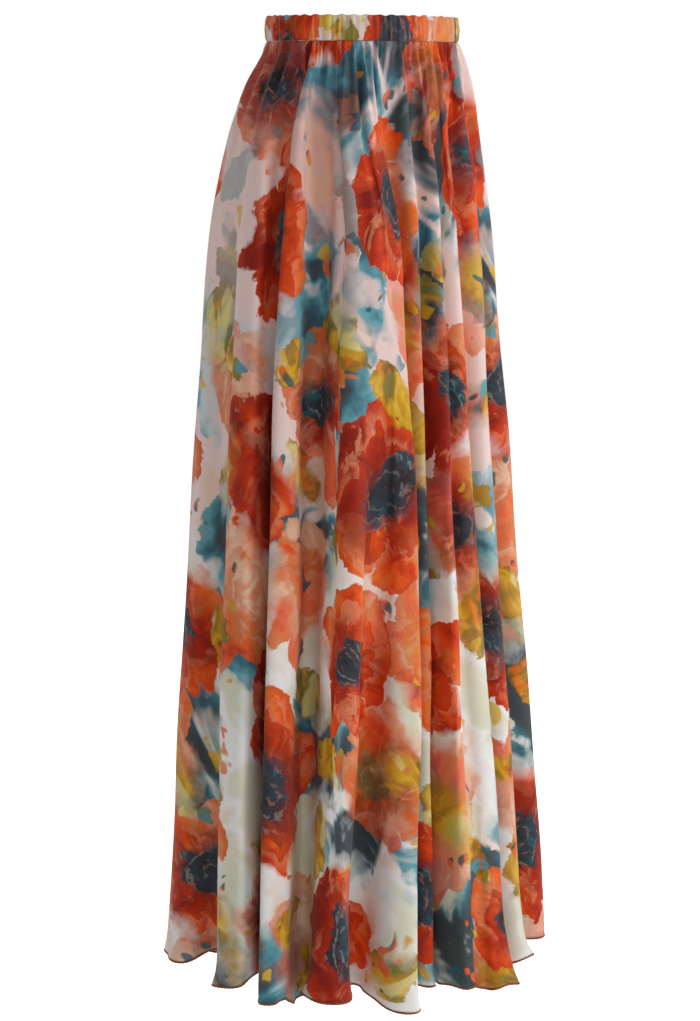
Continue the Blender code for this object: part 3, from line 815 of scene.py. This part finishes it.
def paint_leaf(s, base, wanders, cloth, edge_noise, bloomed):
    """Small drops and leaves of gold, amber and olive, run wet into each other. Some lie under the blooms and some over."""
    place = own_place(s, "leaf", wanders, 1.20, 0.82, 0.13)
    x, y, _ = s.parts(place)
    # drawn to a point at one end and round at the other
    taper = s.add(0.30, s.mul(s.math("POWER", s.math("MAXIMUM", s.mul(s.sub(1.0, x), 0.5), 0.0), 0.7), 0.72))
    far = s.vector("LENGTH", s.join(s.mul(x, 0.96), s.math("DIVIDE", y, taper), 0.0))
    tone, seed, gap = s.parts(s.attribute("leaf_kind"))
    wash = s.noise(cloth, 15.0, 3.0, 0.50, twist=0.9, flat=True).outputs["Fac"]
    grain = s.noise(cloth, 70.0, 2.0, 0.50, twist=0.3, flat=True).outputs["Fac"]
    body = s.add(s.add(s.mul(wash, 1.06), s.mul(s.sub(tone, 0.5), 0.30)), s.add(s.mul(x, 0.09), s.mul(grain, 0.05)))
    colour = s.ramp(body, ((0.40, OLIVE), (0.49, AMBER), (0.58, GOLD), (0.66, AMBER), (0.75, OLIVE), (0.86, SEA), (0.98, TEAL)))
    pooled = s.mul(s.span(x, 0.10, 0.95), s.span(wash, 0.56, 0.44))
    colour = s.mix(s.mul(pooled, 0.75), colour, OLIVE)
    lifted = s.noise(s.vector("ADD", cloth, (5.7, 3.3, 0.0)), 15.0, 2.0, 0.50, twist=0.8, flat=True).outputs["Fac"]
    colour = s.mix(s.mul(s.span(lifted, 0.56, 0.64), 0.75), colour, ink(240, 228, 156))
    colour = s.mix(s.mul(s.span(lifted, 0.40, 0.34), 0.55), colour, s.mix(s.span(grain, 0.44, 0.56), BROWN, ORANGE_RED))
    rim = s.mul(s.span(far, 0.84, 0.98), s.span(edge_noise, 0.56, 0.44))
    colour = s.mix(s.mul(rim, 0.55), colour, s.mix(s.span(wash, 0.42, 0.52), BROWN, OLIVE))
    shape = s.mul(soft_mask(s, far, edge_noise, 0.050, 0.75, 0.46, 0.60), s.span(gap, 0.0, 0.10))
    shape = s.mul(shape, s.sub(1.0, s.mul(bloomed, s.span(tone, 0.52, 0.42))))
    # near the waist most of them are washed out to teal
    high = s.span(s.add(s.attribute("lower", "Fac"), s.mul(s.sub(wash, 0.5), 0.30)), 0.30, 0.16)
    colour = s.mix(s.mul(high, 0.85), colour, s.mix(s.span(body, 0.40, 0.60), SLATE, SEA))
    return s.mix(s.mul(shape, s.span(high, 0.0, 1.0, 0.95, 0.55)), base, colour)


def paint_wash(s, base, wanders, cloth, edge_noise):
    """Teal run into slate: dark where it pooled, misty where it spread, with a crisp tide line in places."""
    place = own_place(s, "wash", wanders, 1.30, 0.60, 0.06)
    far = s.vector("LENGTH", place)
    tone, seed, gap = s.parts(s.attribute("wash_kind"))
    flow = s.noise(cloth, 9.0, 3.0, 0.50, twist=0.9, flat=True).outputs["Fac"]
    feather = s.noise(cloth, 34.0, 3.0, 0.55, twist=0.9, flat=True).outputs["Fac"]
    body = s.add(s.add(s.mul(flow, 1.05), s.mul(s.sub(tone, 0.5), 0.36)), s.mul(s.sub(far, 0.5), 0.42))
    colour = s.ramp(body, ((0.35, NAVY), (0.43, SLATE), (0.50, TEAL), (0.61, SEA), (0.74, SMOKE), (0.87, MIST)))
    shape = s.math("DIVIDE", s.sub(1.0, far), s.span(edge_noise, 0.44, 0.60, 0.035, 0.55), clamp=True)
    shape = s.mul(s.mul(shape, s.span(flow, 0.64, 0.52)), s.span(gap, 0.0, 0.12))
    shape = s.math("ADD", shape, s.mul(s.mul(s.sub(feather, 0.5), 1.1), s.mul(shape, s.sub(1.0, shape))), clamp=True)
    colour = s.mix(s.mul(s.span(feather, 0.40, 0.32), 0.22), colour, SLATE)
    return s.mix(s.mul(shape, 0.94), base, colour)


def paint_drips(s, base, cloth, bloomed):
    """Small splashes between the motifs."""
    where = s.noise(s.vector("ADD", cloth, (7.3, 2.9, 0.0)), 27.0, 2.0, 0.45, twist=0.3, flat=True).outputs["Fac"]
    which = s.noise(s.vector("ADD", cloth, (1.3, 8.1, 0.0)), 15.0, 1.0, 0.5, flat=True).outputs["Fac"]
    colour = s.ramp(which, ((0.30, TEAL), (0.42, SLATE), (0.45, ORANGE_RED), (0.52, TERRACOTTA), (0.56, AMBER), (0.66, GOLD)))
    drop = s.mul(s.span(where, 0.69, 0.73), s.sub(1.0, s.mul(bloomed, 0.9)))
    return s.mix(s.mul(drop, 0.85), base, colour)


def print_material(name, ground_top, ground_low, seethrough, sheen):
    """Printed chiffon: watercolour blooms, leaves and washes on a pale ground, with its weave and crinkle."""
    s = Sheet(name)
    cloth, slow, quick, ragged = wet_cloth(s)
    wanders = (slow, quick, ragged)
    edge_noise = s.noise(cloth, 13.0, 2.0, 0.5, flat=True).outputs["Fac"]
    lower = s.attribute("lower", "Fac")
    cloud = s.noise(cloth, 6.5, 4.0, 0.55, twist=0.3, flat=True).outputs["Fac"]
    ground = s.mix(s.span(s.add(lower, s.mul(s.sub(cloud, 0.5), 0.30)), 0.36, 0.62), ground_top, ground_low)
    ground = s.mix(s.mul(s.span(cloud, 0.52, 0.66), 0.55), ground, MIST)
    tint = s.noise(cloth, 11.0, 3.0, 0.5, twist=0.5, flat=True).outputs["Fac"]
    ground = s.mix(s.mul(s.span(tint, 0.54, 0.68), 0.50), ground, PEACH)
    straw = s.mul(s.span(tint, 0.54, 0.42), s.span(lower, 0.40, 0.65))
    ground = s.mix(s.mul(straw, 0.74), ground, ink(232, 226, 192))
    painted = paint_wash(s, ground, wanders, cloth, edge_noise)
    painted, _ = paint_bloom(s, painted, "faded", wanders, cloth, edge_noise, True)
    painted, bloomed = paint_bloom(s, painted, "bloom", wanders, cloth, edge_noise, False)
    painted = paint_leaf(s, painted, wanders, cloth, edge_noise, bloomed)
    painted = paint_drips(s, painted, cloth, bloomed)
    # threads: the yarn is a little lighter and darker along the cloth
    x, y, _ = s.parts(cloth)
    slub = s.noise(s.join(s.mul(x, 1500.0), s.mul(y, 45.0)), 1.0, 2.0, 0.5, flat=True).outputs["Fac"]
    slub2 = s.noise(s.join(s.mul(x, 45.0), s.mul(y, 1500.0)), 1.0, 2.0, 0.5, flat=True).outputs["Fac"]
    yarn = s.add(s.mul(slub, 0.5), s.mul(slub2, 0.5))
    painted = s.mix(s.span(yarn, 0.30, 0.70, 0.10, 0.0), painted, ink(120, 108, 104), "MULTIPLY")
    # bump: crossed yarns 0.7 mm apart and the crepe's crinkle
    warp = s.math("SINE", s.mul(x, 2 * math.pi / 0.0007))
    weft = s.math("SINE", s.mul(y, 2 * math.pi / 0.0007))
    weave = s.mul(s.add(warp, weft), 0.25)
    crinkle = s.noise(cloth, 260.0, 3.0, 0.6, flat=True).outputs["Fac"]
    height = s.add(s.mul(weave, 0.35), s.mul(crinkle, 1.0))
    bump = s.node("Bump")
    bump.inputs["Strength"].default_value = 0.35
    bump.inputs["Distance"].default_value = 0.0004
    s.put(bump.inputs["Height"], height)
    rough = s.span(s.add(crinkle, s.mul(bloomed, 0.08)), 0.3, 0.8, 0.56, 0.74)
    shader = s.node("BsdfPrincipled")
    s.put(shader.inputs["Base Color"], painted)
    s.put(shader.inputs["Roughness"], rough)
    s.put(shader.inputs["Normal"], bump.outputs[0])
    shader.inputs["IOR"].default_value = 1.42
    shader.inputs["Specular IOR Level"].default_value = 0.26
    shader.inputs["Sheen Weight"].default_value = sheen
    shader.inputs["Sheen Roughness"].default_value = 0.45
    glow = s.node("BsdfTranslucent")
    s.put(glow.inputs["Color"], painted)
    s.put(glow.inputs["Normal"], bump.outputs[0])
    both = s.node("MixShader")
    both.inputs[0].default_value = seethrough
    s.put(both.inputs[1], shader.outputs[0])
    s.put(both.inputs[2], glow.outputs[0])
    out = s.node("OutputMaterial")
    s.put(out.inputs["Surface"], both.outputs[0])
    return s.material


def thread_material(name):
    """Rust-brown overlock thread: slanted stitches close together, with painted shade between them and painted
    highlights where its fuzz is uneven.
    """
    s = Sheet(name)
    place = s.uv("run")
    along, round_it, _ = s.parts(place)
    slant = s.add(s.mul(along, 2 * math.pi / 0.0017), s.mul(round_it, 2 * math.pi))
    stitch = s.span(s.math("SINE", slant), -0.9, 0.9)
    uneven = s.noise(s.join(s.mul(along, 140.0), s.mul(round_it, 3.0)), 1.0, 3.0, 0.6, flat=True).outputs["Fac"]
    # painted shade: the colour darkens where the stitches' relief dips between them
    colour = s.mix(stitch, ink(66, 26, 12), ink(146, 66, 30))
    # painted highlight: lighter patches laid on by the same noise that roughens the thread and raises its fuzz
    colour = s.mix(s.span(uneven, 0.35, 0.70, 0.0, 0.55), colour, ink(176, 96, 54))
    bump = s.node("Bump")
    bump.inputs["Strength"].default_value = 0.6
    bump.inputs["Distance"].default_value = 0.0003
    s.put(bump.inputs["Height"], s.add(stitch, s.mul(uneven, 0.4)))
    shader = s.node("BsdfPrincipled")
    s.put(shader.inputs["Base Color"], colour)
    s.put(shader.inputs["Roughness"], s.span(uneven, 0.3, 0.7, 0.48, 0.70))
    s.put(shader.inputs["Normal"], bump.outputs[0])
    shader.inputs["Specular IOR Level"].default_value = 0.35
    shader.inputs["Sheen Weight"].default_value = 0.2
    out = s.node("OutputMaterial")
    s.put(out.inputs["Surface"], shader.outputs[0])
    return s.material


# ---------------------------------------------------------------- making pieces
def mesh_object(name, points, quads, look):
    mesh = bpy.data.meshes.new(name)
    mesh.from_pydata(points.reshape(-1, 3).tolist(), [], quads.tolist())
    mesh.update()
    mesh.materials.append(look)
    mesh.shade_smooth()
    made = bpy.data.objects.new(name, mesh)
    bpy.context.scene.collection.objects.link(made)
    return made


def shell_quads(rows, columns, closed_round):
    """Quads of a thin shell: an outer grid, an inner grid and the walls that join their open edges."""
    index = np.arange(rows * columns).reshape(rows, columns)
    if closed_round:
        index = np.concatenate([index, index[:, :1]], axis=1)
    a, b, c, d = index[:-1, :-1], index[1:, :-1], index[1:, 1:], index[:-1, 1:]
    outer = np.stack([a, b, c, d], axis=-1).reshape(-1, 4)
    inner = outer[:, ::-1] + rows * columns
    below = rows * columns
    faces = [outer, inner]
    top, bottom = index[0], index[-1]
    faces.append(np.stack([top[:-1], top[1:], top[1:] + below, top[:-1] + below], axis=-1))
    faces.append(np.stack([bottom[1:], bottom[:-1], bottom[:-1] + below, bottom[1:] + below], axis=-1))
    if not closed_round:
        left, right = index[:, 0], index[:, -1]
        faces.append(np.stack([left[1:], left[:-1], left[:-1] + below, left[1:] + below], axis=-1))
        faces.append(np.stack([right[:-1], right[1:], right[1:] + below, right[:-1] + below], axis=-1))
    return np.concatenate(faces)


def panel(name, grid, normals, columns, flat, lower, look):
    outer = grid[:, columns]
    inner = outer - normals[:, columns] * CLOTH
    rows, count = outer.shape[:2]
    made = mesh_object(name, np.concatenate([outer.reshape(-1, 3), inner.reshape(-1, 3)]), shell_quads(rows, count, False), look)
    dress(made.data, np.tile(flat.reshape(-1, 2), (2, 1)), np.tile(lower.ravel(), 2))
    return made


def sector(share, middle, length_down, offset):
    """Places in the flat cloth: a panel is a sector of a ring, its sides spread evenly about its middle."""
    spread = (CUT_HEM - CUT_WAIST) / CUT_LENGTH
    inner = CUT_WAIST / spread
    turn = (share - middle) * 2 * spread
    radius = inner + length_down
    return np.stack([radius * np.sin(turn) + offset[0], inner - radius * np.cos(turn) + offset[1]], axis=-1)


def along_path(points, step):
    """A path's points again, evenly spaced."""
    lengths = np.concatenate([[0.0], np.cumsum(np.linalg.norm(np.diff(points, axis=0), axis=1))])
    wanted = np.linspace(0, lengths[-1], max(2, int(lengths[-1] / step)))
    return np.stack([np.interp(wanted, lengths, points[:, i]) for i in range(3)], axis=1), wanted


def hem_roll(name, path, look):
    """The hem rolled under and overlocked: a fine cord that swells at each stitch, closed at both ends."""
    points, along = along_path(path, 0.0011)
    tangent = np.gradient(points, axis=0)
    tangent /= np.linalg.norm(tangent, axis=1, keepdims=True)
    side = np.cross(tangent, (0.0, 0.0, 1.0))
    side /= np.linalg.norm(side, axis=1, keepdims=True)
    up = np.cross(side, tangent)
    sides = 9
    rings, uvs = [], []
    for j in range(sides):
        turn = 2 * math.pi * j / sides
        radius = HEM_ROLL * (1 + 0.13 * np.sin(2 * math.pi * along / 0.0045 + turn) + 0.10 * np.sin(along * 210.0))
        radius[[0, -1]] = 0.0004
        rings.append(points + radius[:, None] * (math.cos(turn) * side + 1.15 * math.sin(turn) * up))
        uvs.append(np.stack([along, np.full(len(along), j / sides)], axis=1))
    count = len(points)
    vertices = np.stack(rings, axis=1).reshape(-1, 3)
    index = np.arange(count * sides).reshape(count, sides)
    index = np.concatenate([index, index[:, :1]], axis=1)
    quads = np.stack([index[:-1, :-1], index[:-1, 1:], index[1:, 1:], index[1:, :-1]], axis=-1).reshape(-1, 4)
    mesh = bpy.data.meshes.new(name)
    faces = quads.tolist() + [list(range(sides))[::-1], list(range((count - 1) * sides, count * sides))]
    mesh.from_pydata(vertices.tolist(), [], faces)
    mesh.update()
    mesh.materials.append(look)
    mesh.shade_smooth()
    corner = np.empty(len(mesh.loops), np.int32)
    mesh.loops.foreach_get("vertex_index", corner)
    flat = np.stack(uvs, axis=1).reshape(-1, 2)[corner]
    mesh.uv_layers.new(name="run").data.foreach_set("uv", flat.astype(np.float32).ravel())
    made = bpy.data.objects.new(name, mesh)
    bpy.context.scene.collection.objects.link(made)
    return made


def waistband(name, look):
    """The elastic casing: a rounded section carried round the waist, drawn up into uneven tucks."""
    top = OUTLINE[0]
    half = BAND_HEIGHT / 2
    share = np.linspace(0, 1, BAND_COLUMNS + 1)
    turns = 2 * math.pi * share + math.pi       # the strip's ends are joined at the centre back
    # section: height as a share of the half height, and how far out of the band's middle
    steps = 28
    around = np.linspace(0, 2 * math.pi, steps, endpoint=False)
    power = 0.28
    across = np.sign(np.cos(around)) * np.abs(np.cos(around)) ** power
    up = np.sign(np.sin(around)) * np.abs(np.sin(around)) ** power
    tuck = 0.55 * waves(share, 74, 71, 1.6) + 0.45 * waves(share, 41, 73, 1.8) + 0.30 * waves(share, 131, 79, 1.0)
    soft = waves(share, 23, 83, 1.2)
    points = np.empty((steps, BAND_COLUMNS + 1, 3))
    flat = np.empty((steps, BAND_COLUMNS + 1, 2))
    for i in range(steps):
        height = up[i] * half
        outward = across[i] > 0
        level = height / half
        lean = 0.0010 * waves(share + 0.0008 * level, 53, 97, 1.2) * (0.35 + 0.65 * abs(level)) * 0.4
        out = BAND_PROUD - BAND_THICK / 2 + across[i] * BAND_THICK / 2
        if outward:
            out = out + BAND_CROWN * (1 - level**2) + (0.0010 * tuck + 0.0005 * soft) * (1 - 0.35 * level**2) + lean
            out = out - 0.0004 * math.exp(-(((level - 0.74) / 0.07) ** 2)) - 0.0012 * level**4
        else:
            out = out - 0.0004 * tuck
        rim = 0.0005 * waves(share, 47, 89, 1.4) * max(level, 0.0) ** 3
        nx, ny = top.half_depth * np.sin(turns), -top.half_width * np.cos(turns)
        length = np.hypot(nx, ny)
        points[i, :, 0] = top.half_width * np.sin(turns) + out * nx / length
        points[i, :, 1] = -top.half_depth * np.cos(turns) + out * ny / length
        points[i, :, 2] = height + rim
        flat[i, :, 0] = share * CUT_BAND
        flat[i, :, 1] = height * 1.0
    index = np.arange(steps * (BAND_COLUMNS + 1)).reshape(steps, BAND_COLUMNS + 1)
    index = np.concatenate([index, index[:1]], axis=0)
    quads = np.stack([index[:-1, :-1], index[:-1, 1:], index[1:, 1:], index[1:, :-1]], axis=-1).reshape(-1, 4)
    made = mesh_object(name, points, quads, look)
    return made, flat


def dress_band(made, flat):
    """The casing's own strip of print."""
    steps, columns = flat.shape[:2]
    dress(made.data, flat.reshape(-1, 2) * (1.25, 1.0) + (0.205, 0.412), np.full(steps * columns, 0.45))


# ---------------------------------------------------------------- putting it together
def build_skirt():
    front_look = print_material("front_chiffon", PINK_GREY, WHITE, 0.09, 0.10)
    back_look = print_material("back_chiffon", PINK_GREY, WHITE, 0.09, 0.10)
    band_look = print_material("band_chiffon", ink(222, 216, 222), WHITE, 0.10, 0.10)
    thread = thread_material("hem_thread")

    grid, places, share, right, left, down = cloth_grid()
    base_normals = outward_normals(grid)
    step = np.linalg.norm(np.diff(grid, axis=0), axis=-1)
    length_down = np.concatenate([np.zeros((1, grid.shape[1])), np.cumsum(step, axis=0)])
    grid = grid + base_normals * folds(places, share, down)[..., None]
    grid = curled_hem(grid, outward_normals(grid), places, length_down)
    normals = outward_normals(grid)

    count = grid.shape[1]
    front_columns = np.arange(0, PANEL_COLUMNS + 1)
    back_columns = np.arange(PANEL_COLUMNS, 2 * PANEL_COLUMNS + 1) % count
    lower = np.tile(((down + SKIRT_TOP) / CUT_LENGTH)[:, None], (1, PANEL_COLUMNS + 1))
    front_share = np.append(share[:PANEL_COLUMNS], left)
    back_share = np.append(share[PANEL_COLUMNS:], right + 1)
    pieces = {}
    for name, columns, shares, middle, seam, offset, look in (
        ("front_panel_cloth", front_columns, front_share, (right + left) / 2, SEAM_RIGHT, (0.31, 0.02), front_look),
        ("back_panel_cloth", back_columns, back_share, (left + right + 1) / 2, SEAM_LEFT, (0.12, 0.47), back_look),
    ):
        long = length_down[:, columns]
        both_widths = 2 * (CUT_WAIST + (CUT_HEM - CUT_WAIST) * long / CUT_LENGTH)
        hidden = tucked(places[columns], sum(seam), down) / both_widths
        flat = sector(shares[None, :] + hidden, middle, long, offset)
        pieces[name] = panel(name, grid, normals, columns, flat, lower, look)
        edge = grid[-1, columns] - normals[-1, columns] * CLOTH / 2
        edge[:, 2] -= HEM_ROLL * 0.2
        pieces[name.replace("panel_cloth", "hem_roll")] = hem_roll(name.replace("panel_cloth", "hem_roll"), edge, thread)

    band, band_flat = waistband("waistband_casing", band_look)
    dress_band(band, band_flat)

    front, back = pieces["front_panel_cloth"], pieces["back_panel_cloth"]
    front_hem, back_hem = pieces["front_hem_roll"], pieces["back_hem_roll"]
    for piece in (front, back, front_hem, back_hem, band):
        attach(piece, "root")
    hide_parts("front_panel")
    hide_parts("back_panel")
    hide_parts("waistband")


def build_stage():
    look = Sheet("floor")
    where = look.node("TexCoord").outputs["Object"]
    mottle = look.noise(where, 0.8, 2.0).outputs["Fac"]
    far = look.vector("LENGTH", look.vector("MULTIPLY", where, (1.0, 1.0, 0.0)))
    shader = look.node("BsdfPrincipled")
    look.put(shader.inputs["Base Color"], look.mix(mottle, (0.88, 0.88, 0.88, 1), (0.92, 0.92, 0.92, 1)))
    shader.inputs["Roughness"].default_value = 0.9
    # painted light: the floor glows, fully where the camera sees it and at about a fifth towards everything else, so
    # that it lights the cloth from below; its glow is weaker near the skirt, a painted shade round its foot
    shader.inputs["Emission Color"].default_value = (1, 1, 1, 1)
    seen = look.node("LightPath").outputs["Is Camera Ray"]
    look.put(shader.inputs["Emission Strength"], look.mul(look.span(seen, 0.0, 1.0, 0.22, 1.0), look.span(far, 0.4, 2.4, 0.72, 0.97)))
    out = look.node("OutputMaterial")
    look.put(out.inputs["Surface"], shader.outputs[0])
    mesh = bpy.data.meshes.new("studio_floor")
    sides, reach = 64, 14.0
    ring_points = [(reach * math.cos(2 * math.pi * i / sides), reach * math.sin(2 * math.pi * i / sides), -1.15) for i in range(sides)]
    mesh.from_pydata(ring_points, [], [list(range(sides))])
    mesh.materials.append(look.material)
    floor = bpy.data.objects.new("studio_floor", mesh)
    bpy.context.scene.collection.objects.link(floor)

    # white paper all round: the camera sees it bright, and it lights the cloth softly
    world = bpy.data.worlds.new("studio")
    world.use_nodes = True
    nodes, links = world.node_tree.nodes, world.node_tree.links
    path = nodes.new("ShaderNodeLightPath")
    strength = nodes.new("ShaderNodeMapRange")
    strength.inputs["To Min"].default_value = 0.04
    strength.inputs["To Max"].default_value = 1.0
    links.new(path.outputs["Is Camera Ray"], strength.inputs["Value"])
    nodes["Background"].inputs[0].default_value = (1.0, 1.0, 1.0, 1)
    links.new(strength.outputs["Result"], nodes["Background"].inputs[1])
    bpy.context.scene.world = world


def area_light(name, place, aim, size, power, colour=(1, 1, 1)):
    data = bpy.data.lights.new(name, "AREA")
    data.shape = "RECTANGLE"
    data.size, data.size_y = size
    data.energy = power
    data.color = colour
    made = bpy.data.objects.new(name, data)
    bpy.context.scene.collection.objects.link(made)
    made.location = place
    direction = np.array(aim, float) - np.array(place, float)
    yaw = math.atan2(direction[0], -direction[1])
    pitch = math.atan2(direction[2], math.hypot(direction[0], direction[1]))
    made.rotation_euler = (math.pi / 2 + pitch, 0.0, yaw + math.pi)
    return made


# Soft boxes round the skirt: turn in degrees from the camera's side towards
# the right of the picture, how far off, height, the height it aims at, width,
# length and power in watts. The last two stand in for white boards on the floor.
Lamp = namedtuple("Lamp", "name turn far rise aim width length power")
LAMPS = (
    Lamp("left", -72, 3.1, 0.9, -0.5, 1.1, 2.0, 11.5),
    Lamp("front", 14, 3.1, 0.9, -0.5, 1.1, 2.0, 12.5),
    Lamp("right", 60, 3.1, 0.9, -0.5, 1.1, 2.0, 39),
    Lamp("rear_right", 105, 3.1, 0.9, -0.5, 1.1, 2.0, 40),
    Lamp("rear", 190, 3.1, 0.9, -0.5, 1.1, 2.0, 22),
    Lamp("rear_left", -120, 3.1, 0.9, -0.5, 1.1, 2.0, 22),
    Lamp("high", -6, 2.1, 1.0, -0.05, 1.3, 0.5, 3.4),
    Lamp("low_left", -40, 2.2, -0.75, -0.85, 1.0, 0.6, 2.2),
    Lamp("low_right", 44, 2.2, -0.75, -0.85, 1.0, 0.6, 3.0),
)


def build_lights_and_camera():
    toward = np.array([-0.81915, -0.57358, 0.0])      # from the skirt to the camera
    right = np.array([0.57358, -0.81915, 0.0])        # to the right in the picture
    up = np.array([0.0, 0.0, 1.0])
    for lamp in LAMPS:
        turn = math.radians(lamp.turn)
        place = lamp.far * (math.cos(turn) * toward + math.sin(turn) * right) + lamp.rise * up
        area_light(lamp.name, place, (0, 0, lamp.aim), (lamp.width, lamp.length), lamp.power)
    data = bpy.data.cameras.new("camera")
    data.sensor_width = 36.0
    data.sensor_fit = "AUTO"
    data.lens = 2913 / 1021 * 36.0
    data.clip_end = 100.0
    camera = bpy.data.objects.new("camera", data)
    bpy.context.scene.collection.objects.link(camera)
    camera.location = 3.0 * toward - 0.01333 * right - 0.07 * up
    camera.rotation_euler = (math.radians(90 - 8.03), 0.0, math.radians(-55))
    bpy.context.scene.camera = camera
    bpy.context.scene.view_settings.view_transform = "Standard"
    bpy.context.scene.view_settings.look = "None"


# ---------------------------------------------------------------- the scene
build_skirt()
build_stage()
build_lights_and_camera()
